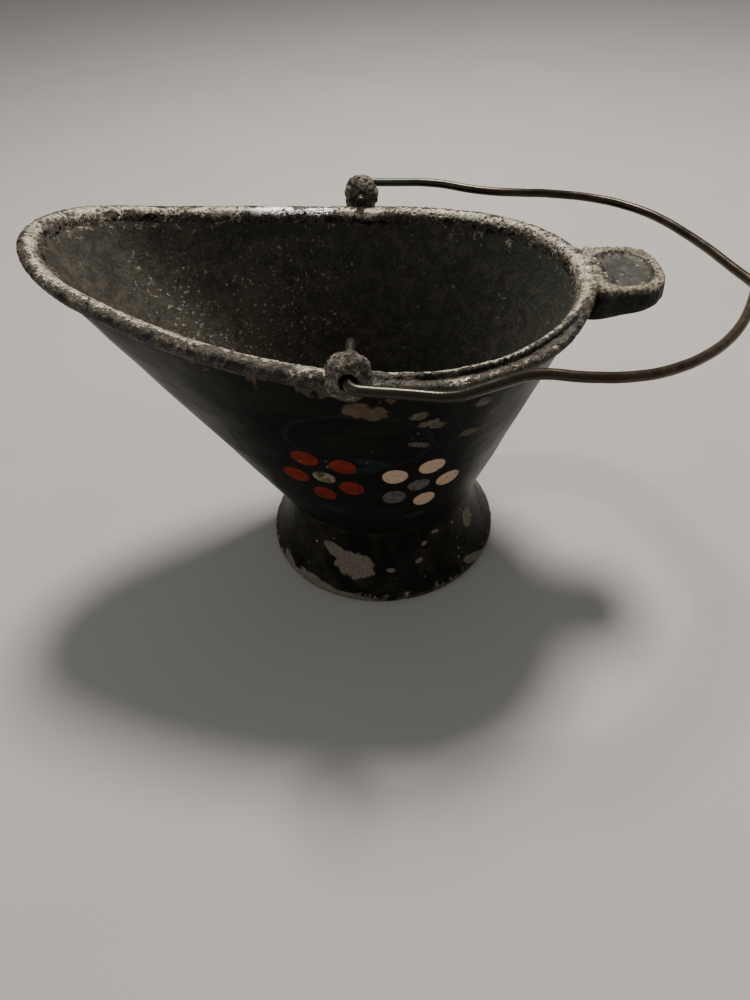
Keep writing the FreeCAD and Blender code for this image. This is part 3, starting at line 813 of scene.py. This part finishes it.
class MakeHopper(bpy.types.Operator):
    """Casts the flared hopper body and paints it"""

    bl_idname = "scuttle.make_hopper"
    bl_label = "Hopper body"

    def execute(self, context):
        s = context.scene.scuttle_hopper
        wall = Wall(s)
        rows = s.rows
        last = 2 * rows + 1
        under_crest = 0.6 * MM

        def place(turn, ring):
            if ring > last:
                ring = 0
            angle = wall.angle(turn)
            outer = ring <= rows
            part = 1 - ring / rows if outer else (ring - rows - 1) / rows
            top = wall.rim_share(angle) - under_crest / (s.mouth_height - s.neck_height)
            point = wall.at(angle, part * top)
            drift = s.unevenness * ease(part, 0.0, 0.15) * ease(part, 1.0, 0.9)
            out = wall.out(angle)
            below = (top - part * top) * (s.mouth_height - s.neck_height)
            hidden = 0.4 * MM * ease(below, 1.3 * MM, 0.5 * MM)
            push = lumps(point, 9 * MM, 3.0) * drift + (-hidden if outer else hidden - s.wall)
            return point + out * push, ease(below, 9 * MM, 0.5 * MM)

        bm, _ = ring_casting(s.segments, last + 2, place)
        c = context.scene.scuttle_finish
        finish_piece(
            "hopper_body", bm, [outside_paint(c), inside_paint(c)], "scuttle", "hopper_shell",
            pick=lambda level: 1 if rows + 0.4 < level else 0,
        )
        floor = frame["nodes"]["hopper_floor"]
        floor.data.materials.clear()
        floor.data.materials.append(bpy.data.materials["inside_paint"])
        return {"FINISHED"}


# Section of the roll: millimetres outwards and upwards from the wall's outer face at the rim line, then wear.
SINGLE_ROLL = [
    (-1.85, -2.3, 0.34), (-1.98, -1.3, 0.42), (-2.06, -0.4, 0.62), (-1.80, 0.36, 1.0), (-1.2, 0.68, 1.0),
    (-0.5, 0.72, 0.66), (0.15, 0.54, 0.50), (0.70, 0.16, 0.42), (1.0, -0.45, 0.36), (1.05, -1.1, 0.26),
    (0.9, -1.75, 0.16), (0.5, -2.25, 0.08), (-0.05, -2.5, 0.0), (-0.8, -2.5, 0.0), (-1.3, -2.5, 0.0),
    (-1.7, -2.45, 0.1),
]
DOUBLE_ROLL = [
    (-1.85, -2.3, 0.34), (-1.98, -1.3, 0.40), (-2.08, -0.3, 0.60), (-1.98, 0.42, 0.95), (-1.55, 0.66, 0.85),
    (-1.10, 0.40, 0.50), (-0.72, -0.22, 0.10), (-0.25, 0.00, 0.50), (0.45, 0.20, 0.80), (1.20, -0.10, 0.62),
    (1.62, -0.85, 0.40), (1.46, -1.72, 0.22), (0.86, -2.35, 0.10), (-0.05, -2.6, 0.0), (-0.9, -2.5, 0.0),
    (-1.7, -2.45, 0.1),
]


class MakeRim(bpy.types.Operator):
    """Rolls the rim, worn and pitted, with its second ridge behind the left ear"""

    bl_idname = "scuttle.make_rim"
    bl_label = "Rolled rim"

    def execute(self, context):
        s = context.scene.scuttle_rim
        wall = Wall(context.scene.scuttle_hopper)
        single = smooth_section(SINGLE_ROLL, s.fineness)
        double = smooth_section(DOUBLE_ROLL, s.fineness)
        rings = len(single)

        def place(turn, ring):
            ring %= rings
            angle = wall.angle(turn)
            around = math.degrees(angle)
            doubled = ease(around, -99.0, -84.0) * ease(around, -14.0, -52.0)
            mark = single[ring].lerp(double[ring], doubled)
            out, up, wear = mark.x * MM, mark.y * MM, mark.z
            line = wall.at(angle, wall.rim_share(angle))
            facing = wall.out(angle)
            wander = s.waviness * lumps(line, 7 * MM, 5.0)
            by_grip = ease(abs(around), 17.0, 9.0) * ease(mark.y, -1.0, 0.0)
            from_ear = abs(line.x - PIVOT.x - 0.6 * MM)
            by_ear = max(0.0, 1 - from_ear / (4.2 * MM)) ** 0.5 * ease(mark.x, -0.6, -1.8)
            swollen = 1.1 * MM * by_grip * ease(mark.x, -0.2, 0.7)
            out += swollen - 0.45 * MM * by_ear * ease(mark.y, -2.4, -1.0)
            up += 0.35 * MM * by_grip * ease(mark.x, -0.6, 0.7)
            point = line + facing * (out + up * wall.lean(angle)) + Vector((0, 0, up + wander))
            heart = line + facing * (-0.65 * MM) + Vector((0, 0, -0.85 * MM))
            away = (point - heart).normalized()
            outer_side = ease(mark.x, -1.7, -0.6) * ease(mark.y, -2.4, -1.6)
            nicks = max(0.0, lumps(point, 2.1 * MM, 21.0) - 0.3) * 2.2 * outer_side
            crust = lumps(point, 1.5 * MM, 31.0, 4) * (0.25 + by_ear + by_grip * 1.4)
            point += away * s.pitting * (lumps(point, 0.7 * MM, 9.0, 4) * 0.4 + crust - nicks)
            return point, max(0.0, wear + 0.35 * by_grip + 0.15 * by_ear - nicks * 0.9)

        bm, _ = ring_casting(s.segments, rings + 1, place)
        c = context.scene.scuttle_finish
        finish_piece("rolled_rim", bm, [worn_rim(c)], "scuttle", "rim_bead")
        return {"FINISHED"}


class MakeFoot(bpy.types.Operator):
    """Spins the hollow pedestal foot"""

    bl_idname = "scuttle.make_foot"
    bl_label = "Pedestal foot"

    def execute(self, context):
        s = context.scene.scuttle_foot
        hopper = context.scene.scuttle_hopper
        rise = hopper.neck_height - s.band
        spread = s.radius - hopper.neck_radius
        flare = (rise**2 + spread**2) / (2 * spread)
        sweep = math.asin(rise / flare)
        inner = s.radius - s.ledge
        wall = Wall(hopper)
        fillet = 3.2 * MM
        # A row with no height is part of the fillet under the hopper, and holds its share of the way down.
        fillet_shares = (0.0, 0.16, 0.33, 0.5, 0.67, 0.84)
        section = [(share, None) for share in fillet_shares]
        steps = 22
        first = 0.25 * sweep
        for i in range(steps):
            turn = first + (sweep - first) * i / (steps - 1)
            radius = hopper.neck_radius + flare * (1 - math.cos(turn))
            section.append((radius, hopper.neck_height - flare * math.sin(turn)))
        section += [
            (s.radius + 0.05 * MM, s.band * 0.75),
            (s.radius + 0.05 * MM, s.band * 0.4),
            (s.radius - 0.10 * MM, s.band * 0.15),
            (s.radius - 0.45 * MM, 0.0),
            (inner + 0.5 * MM, 0.0),
            (inner + 0.1 * MM, 0.35 * MM),
        ]
        for i in range(12):
            t = (i + 1) / 12
            section.append((inner + (s.hollow_top - inner) * t**0.8, hopper.neck_height * t))
        rings = len(section)

        def place(turn, ring):
            radius, height = section[ring % rings]
            angle = math.remainder(turn * 2 * math.pi, 2 * math.pi)
            out = Vector((math.cos(angle), math.sin(angle), 0))
            if height is None:
                up = Vector((0, 0, 1))
                corners = [
                    wall.at(angle, fillet / (hopper.mouth_height - hopper.neck_height)) - out * 0.10 * MM,
                    wall.neck(angle) + out * 0.02 * MM,
                    out * hopper.neck_radius + up * (hopper.neck_height - flare * math.tan(first / 2)),
                    out * section[len(fillet_shares)][0] + up * section[len(fillet_shares)][1],
                ]
                while len(corners) > 1:
                    corners = [a.lerp(b, radius) for a, b in zip(corners, corners[1:])]
                return corners[0], 0.0
            point = out * radius + Vector((0, 0, height))
            below_neck = ease(height, hopper.neck_height, hopper.neck_height - 3 * MM)
            quiet = ease(height, 0.0, 2.0 * MM) * below_neck
            nicks = max(0.0, lumps(point, 2.6 * MM, 7.0) - 0.2) * 0.5 * MM * ease(height, 3 * MM, 0.2 * MM)
            point += out * (lumps(point, 5 * MM, 2.0) * s.unevenness * (0.3 + quiet) - nicks)
            return point, ease(height, 3.4 * MM, 0.5 * MM)

        bm, _ = ring_casting(s.segments, rings + 1, place)
        c = context.scene.scuttle_finish
        finish_piece("foot_casting", bm, [foot_paint(c)], "scuttle", "pedestal_foot")
        return {"FINISHED"}


class MakeEars(bpy.types.Operator):
    """Casts the two pierced ears on the rim"""

    bl_idname = "scuttle.make_ears"
    bl_label = "Bail ears"

    def execute(self, context):
        s = context.scene.scuttle_ears
        # This finish paints highlights on the lumps and shade in the crevices, the socket and the bore.
        crusted = crusted_casting_with_painted_light()
        for name, node, side in (("left_ear", "bail_ear_left", -1.0), ("right_ear", "bail_ear_right", 1.0)):
            low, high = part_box(node)
            centre = Vector((PIVOT.x, (low.y + high.y) / 2, PIVOT.z))
            thick = s.half_thickness
            mouth = thick * math.sqrt(1 - (s.socket / s.half_length) ** 2)
            back = thick * math.sqrt(1 - (s.bore / s.half_length) ** 2)
            section = [(s.bore, mouth - s.socket_depth, 0.0), (s.socket * 0.7, mouth - s.socket_depth, 0.0)]
            section.append((s.socket * 0.94, mouth - s.socket_depth * 0.7, 0.0))
            section.append((s.socket, mouth - 0.35 * MM, 0.15))
            start = math.asin(s.socket * 1.12 / s.half_length)
            stop = math.pi - math.asin(s.bore / s.half_length)
            steps = 30
            for i in range(steps):
                slant = start + (stop - start) * i / (steps - 1)
                section.append((s.half_length * math.sin(slant), thick * math.cos(slant), 1.0))
            section += [(s.bore, -back * 0.5, 0.0), (s.bore, 0.0, 0.0)]
            rings = len(section)

            def place(turn, ring):
                radius, along, crust = section[ring % rings]
                angle = turn * 2 * math.pi
                tall = 1.0 + (s.half_height / s.half_length - 1.0) * ease(radius, s.bore, s.half_length)
                skirt = 1.0 + 0.24 * ease(-math.sin(angle), 0.1, 1.0) * ease(radius, s.socket, s.half_length)
                point = Vector((
                    radius * math.cos(angle) * skirt, side * along, radius * math.sin(angle) * tall * skirt
                ))
                if crust == 1.0:
                    away = point.normalized()
                    place_in = point + centre
                    point += away * s.crust * (
                        lumps(place_in, 1.9 * MM, 4.0, 2) * 1.3 + lumps(place_in, 0.6 * MM, 6.0) * 0.35
                    )
                # The wear mark is nothing in the socket and the bore, and the ears' finish paints them
                # near-black there as shade.
                rim = ease(radius, s.socket * 0.98, s.socket * 1.25)
                return point + centre, crust * (0.35 + 0.65 * rim)

            bm, _ = ring_casting(96, rings + 1, place)
            finish_piece(name, bm, [crusted], "scuttle", node)
        return {"FINISHED"}


class MakeGrip(bpy.types.Operator):
    """Casts the flat grip with its raised border and dished middle"""

    bl_idname = "scuttle.make_grip"
    bl_label = "Rear grip"

    def execute(self, context):
        s = context.scene.scuttle_grip
        low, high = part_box("rear_grip")
        buried = 0.6 * MM
        root, tip = low.x - buried, high.x
        middle, half = (root + tip) / 2, (tip - root) / 2
        top = high.z - 0.1 * MM
        inset = s.half_width - 0.4 * MM
        # Each ring: how far in from the outline, how far up the side, how dished, and how worn.
        rings = [(inset * (1 - i / 9), 0.0, 0.0, 0.0) for i in range(9)]
        rings += [(0.55 * MM, 0.0, 0.0, 0.0), (0.16 * MM, 0.06, 0.0, 0.0), (0.0, 0.18, 0.0, 0.0)]
        rings += [(0.0, 0.35, 0.0, 0.05), (0.0, 0.5, 0.0, 0.1), (0.0, 0.66, 0.0, 0.2), (0.0, 0.8, 0.0, 0.5)]
        rings += [(0.12 * MM, 0.92, 0.0, 0.85), (0.36 * MM, 0.985, 0.0, 1.0), (0.62 * MM, 1.0, 0.0, 1.0)]
        rings += [(s.border * k, 1.0, d, w) for k, d, w in (
            (0.5, -0.12, 1.0), (0.68, 0.0, 1.0), (0.84, 0.15, 0.85), (1.0, 0.45, 0.55), (1.16, 0.75, 0.3),
            (1.34, 0.92, 0.12), (1.6, 1.0, 0.0),
        )]
        start = s.border * 1.6
        rings += [(start + (inset - start) * i / 11, 1.0, 1.0, 0.0) for i in range(1, 12)]

        def place(turn, ring):
            into, up, dished, worn = rings[ring]
            angle = turn * 2 * math.pi
            c, n = math.cos(angle), math.sin(angle)
            oval = ease(into, 0.6 * MM, s.border) if up > 0.9 else 0.0
            power = 2 / 2.35 if c > 0 else 2 / (4.0 - 1.7 * oval)
            reach = max(half - into * (0.9 if c > 0 or up < 0.9 else 0.55), 0.05 * MM)
            width = max(s.half_width - into, 0.05 * MM)
            x = middle + reach * math.copysign(abs(c) ** power, c)
            y = width * math.copysign(abs(n) ** (2 / (2.6 - 0.5 * oval)), n)
            from_root = (x - root) / (tip - root)
            y *= 1.0 + 0.22 * ease(from_root, 0.42, 0.05) + 0.03 * ease(from_root, 0.3, 0.7)
            thickness = s.root_thickness + (s.tip_thickness - s.root_thickness) * max(0.0, from_root)
            lumpy = ease(from_root + 0.14 * lumps(Vector((x, y, 0)), 3 * MM, 13.0), 0.30, 0.12)
            sunk = s.dish * dished * (1 - lumpy)
            point = Vector((x, y, top - thickness * (1 - up) - sunk))
            if up > 0.7:
                crust = max(worn, lumpy)
                point.z += s.crust * (crust + 0.08) * (
                    lumps(point, 1.6 * MM, 8.0) * 1.2 + lumps(point, 0.6 * MM, 3.0) * 0.6
                )
                point.z += 0.30 * MM * lumpy * ease(from_root, 0.40, 0.1) - 0.12 * MM * (1 - lumpy)
            if 0.05 < up < 0.95 or (up >= 0.95 and into < s.border * 0.4):
                side = Vector((x - middle, y, 0)).normalized()
                point += side * (lumps(point, 2.2 * MM, 1.0) * 0.22 * MM - 0.14 * MM)
            point.x -= (1 - up) * 3.0 * MM * ease(from_root, 0.40, 0.0)
            return point, max(worn, lumpy * 0.95 if up > 0.9 else 0.0)

        bm, edges = ring_casting(224, len(rings), place)
        bmesh.ops.contextual_create(bm, geom=edges)
        loops = [e for e in bm.edges if len(e.link_faces) == 1]
        bmesh.ops.contextual_create(bm, geom=loops)
        level = bm.verts.layers.float["level"]
        upper = bm.verts.layers.float.new("top")
        for vert in bm.verts:
            vert[upper] = rings[int(vert[level])][1] ** 3
        finish = worn_grip(context.scene.scuttle_finish)
        finish_piece("grip_casting", bm, [finish], "scuttle", "rear_grip")
        return {"FINISHED"}


# Bends of the bail: share of its reach, share of the distance to a leg, share of the shorter run.
BAIL_BENDS = [
    (0.201, -1.025, 0.15), (0.380, -0.835, 0.25), (0.558, -0.885, 0.45), (0.759, -0.722, 0.45),
    (0.912, -0.362, 0.40), (1.000, -0.028, 0.12), (0.938, 0.393, 0.30), (0.852, 0.810, 0.42),
    (0.658, 0.976, 0.42), (0.402, 0.929, 0.42), (0.208, 1.045, 0.25),
]


class MakeBail(bpy.types.Operator):
    """Bends the wire bail through both ears"""

    bl_idname = "scuttle.make_bail"
    bl_label = "Wire bail"

    def execute(self, context):
        s = context.scene.scuttle_bail
        low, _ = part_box("bail_wire")
        left = -(low.y + s.diameter / 2)
        legs = (35.57 * MM, 38.07 * MM)
        stubs = (24.16 * MM, 27.26 * MM)
        if left < legs[0] - 1 * MM:
            raise RuntimeError("the bail's left leg is not where the frame has it")
        route = [(0.0, -stubs[0], None), (0.0, -legs[0], None)]
        route += [(a * s.reach, b * (legs[0] if b < 0 else legs[1]), part) for a, b, part in BAIL_BENDS]
        route += [(0.0, legs[1], None), (0.0, stubs[1], None)]
        points = [Vector((a, b, 0.0)) for a, b, _ in route]
        path = [points[0]]
        for i in range(1, len(points) - 1):
            before, corner, after = points[i - 1 : i + 2]
            inward, onward = before - corner, after - corner
            half = inward.angle(onward) / 2
            part = route[i][2]
            shorter = min(inward.length, onward.length)
            setback = s.eye_bend / math.tan(half) if part is None else part * shorter
            inward.normalize()
            onward.normalize()
            first, last = corner + inward * setback, corner + onward * setback
            radius = setback * math.tan(half)
            centre = corner + (inward + onward).normalized() * (radius / math.sin(half))
            steps = 14
            for j in range(steps + 1):
                spoke = (first - centre).normalized().slerp((last - centre).normalized(), j / steps)
                path.append(centre + spoke * radius)
        path.append(points[-1])
        wire = [path[0]]
        for point in path[1:]:
            gap = (point - wire[-1]).length
            steps = max(1, round(gap / (0.9 * MM)))
            wire += [wire[-1].lerp(point, (j + 1) / steps) for j in range(steps)] if gap > 0.05 * MM else []
        for _ in range(40):
            eased = list(wire)
            for i in range(1, len(wire) - 1):
                part = wire[i].x / s.reach
                free = ease(part, 0.42, 0.52) * ease(abs(part - 0.995), 0.006, 0.04)
                eased[i] = wire[i].lerp((wire[i - 1] + wire[i + 1]) / 2, free)
            wire = eased
        slope = Matrix.Rotation(s.droop, 4, "Y")
        wire = [PIVOT + (slope @ p) - Vector((0, PIVOT.y, 0)) for p in wire]
        radius = s.diameter / 2
        count = len(wire)
        up = slope @ Vector((0, 0, 1))
        stations = [(0, r) for r in (0.02, 0.5, 0.82)] + [(i, 1.0) for i in range(count)]
        stations += [(count - 1, r) for r in (0.82, 0.5, 0.02)]

        def place(turn, ring):
            i, scale = stations[ring]
            ahead = wire[min(i + 1, count - 1)] - wire[max(i - 1, 0)]
            across = ahead.normalized().cross(up).normalized()
            angle = turn * 2 * math.pi
            spoke = up * math.sin(angle) + across * math.cos(angle)
            point = wire[i]
            in_eye = abs(point.x - PIVOT.x) < 3.2 * MM
            wander = 0.0 if in_eye else s.kinks
            drift = Vector([lumps(point, 9 * MM, seed) for seed in (1.0, 12.0, 23.0)])
            rough = 1.0 if in_eye else 1.0 + 0.02 * lumps(point + spoke * radius, 1.2 * MM, 2.0)
            outwards = -1 if i == 0 else 1
            lip = ahead.normalized() * (0.06 * MM * (1 - scale) * outwards) if scale < 1 else Vector()
            return point + drift * wander + spoke * (radius * scale * rough) + lip, 0.5

        bm, edges = ring_casting(24, len(stations), place)
        bmesh.ops.contextual_create(bm, geom=edges)
        bmesh.ops.contextual_create(bm, geom=[e for e in bm.edges if len(e.link_faces) == 1])
        finish = browned_wire(context.scene.scuttle_finish)
        finish_piece("bail", bm, [finish], "bail", "bail_wire")
        return {"FINISHED"}


# --- Stage ------------------------------------------------------------------


def aim(thing, target):
    """Turns a light or a camera towards a point."""
    thing.rotation_euler = (Vector(target) - thing.location).to_track_quat("-Z", "Y").to_euler()


def softbox(name, place, target, size, power, tint):
    """A round soft light."""
    light = bpy.data.lights.new(name, "AREA")
    light.shape = "DISK"
    light.size = size
    light.energy = power
    light.color = tint
    lamp = bpy.data.objects.new(name, light)
    lamp.location = place
    aim(lamp, target)
    bpy.context.scene.collection.objects.link(lamp)
    return lamp


class MakeStage(bpy.types.Operator):
    """Lays the floor and sets the lights and the camera"""

    bl_idname = "scuttle.make_stage"
    bl_label = "Stage"

    def execute(self, context):
        s = context.scene.scuttle_stage
        bm = bmesh.new()
        bmesh.ops.create_grid(bm, x_segments=2, y_segments=2, size=1.5)
        bmesh.ops.translate(bm, verts=bm.verts, vec=(0, 0, -0.00005))
        mesh = bpy.data.meshes.new("studio_floor")
        bm.to_mesh(mesh)
        bm.free()
        floor = bpy.data.objects.new("studio_floor", mesh)
        context.scene.collection.objects.link(floor)
        f = Finish("studio_floor")
        tone = f.mix(f.grain(60.0, 3.0, 0.5).rise(0.3, 0.7), s.floor, [v * 0.96 for v in s.floor])
        mesh.materials.append(f.surface([(f.grain(2.0), 0.00005, 0.2)], base_color=tone, roughness=0.75))
        softbox("key_light", (0.04, 0.21, 0.50), (0, 0, 0.03), 0.12, s.key, (1.0, 0.945, 0.865))
        softbox("fill_light", (-0.40, -0.30, 0.35), (0, 0, 0.03), 0.45, s.fill, (0.93, 0.96, 1.0))
        world = bpy.data.worlds.new("studio")
        world.use_nodes = True
        sky = next(n for n in world.node_tree.nodes if n.type == "BACKGROUND")
        sky.inputs["Color"].default_value = (1.0, 0.98, 0.95, 1.0)
        sky.inputs["Strength"].default_value = s.air
        context.scene.world = world
        data = bpy.data.cameras.new("camera")
        data.lens = s.lens
        data.sensor_width = 36.0
        data.sensor_fit = "AUTO"
        data.clip_start, data.clip_end = 0.005, 10.0
        camera = bpy.data.objects.new("camera", data)
        camera.location = (0.004916, -0.11097, 0.11252)
        pan, tilt, roll = (math.radians(degrees) for degrees in (3.335, 46.09, -3.845))
        turn = Matrix.Rotation(pan, 3, "Z") @ Matrix.Rotation(tilt, 3, "X") @ Matrix.Rotation(roll, 3, "Z")
        camera.rotation_euler = turn.to_euler()
        context.scene.collection.objects.link(camera)
        context.scene.camera = camera
        return {"FINISHED"}


class ScuttlePanel(bpy.types.Panel):
    """Sizes, colours and steps of the scuttle"""

    bl_idname = "VIEW3D_PT_scuttle"
    bl_label = "Coal scuttle"
    bl_space_type = "VIEW_3D"
    bl_region_type = "UI"
    bl_category = "Scuttle"

    def draw(self, context):
        for step, pointer in STEPS:
            box = self.layout.box()
            box.operator(step.bl_idname)
            settings = getattr(context.scene, pointer)
            for name in settings.__annotations__:
                box.prop(settings, name)
        box = self.layout.box()
        for name in context.scene.scuttle_finish.__annotations__:
            box.prop(context.scene.scuttle_finish, name)


SETTINGS = {
    "scuttle_hopper": HopperSettings,
    "scuttle_rim": RimSettings,
    "scuttle_foot": FootSettings,
    "scuttle_ears": EarSettings,
    "scuttle_grip": GripSettings,
    "scuttle_bail": BailSettings,
    "scuttle_finish": FinishSettings,
    "scuttle_stage": StageSettings,
}
STEPS = [
    (MakeHopper, "scuttle_hopper"),
    (MakeRim, "scuttle_rim"),
    (MakeFoot, "scuttle_foot"),
    (MakeEars, "scuttle_ears"),
    (MakeGrip, "scuttle_grip"),
    (MakeBail, "scuttle_bail"),
    (MakeStage, "scuttle_stage"),
]


def register():
    for settings in SETTINGS.values():
        bpy.utils.register_class(settings)
    for step, _ in STEPS:
        bpy.utils.register_class(step)
    bpy.utils.register_class(ScuttlePanel)
    for name, settings in SETTINGS.items():
        setattr(bpy.types.Scene, name, PointerProperty(type=settings))


def unregister():
    for name in SETTINGS:
        delattr(bpy.types.Scene, name)
    bpy.utils.unregister_class(ScuttlePanel)
    for step, _ in STEPS:
        bpy.utils.unregister_class(step)
    for settings in SETTINGS.values():
        bpy.utils.unregister_class(settings)


def main():
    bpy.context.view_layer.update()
    register()
    bpy.ops.scuttle.make_hopper()
    bpy.ops.scuttle.make_rim()
    bpy.ops.scuttle.make_foot()
    bpy.ops.scuttle.make_ears()
    bpy.ops.scuttle.make_grip()
    bpy.ops.scuttle.make_bail()
    bpy.ops.scuttle.make_stage()


if __name__ == "__main__":
    main()
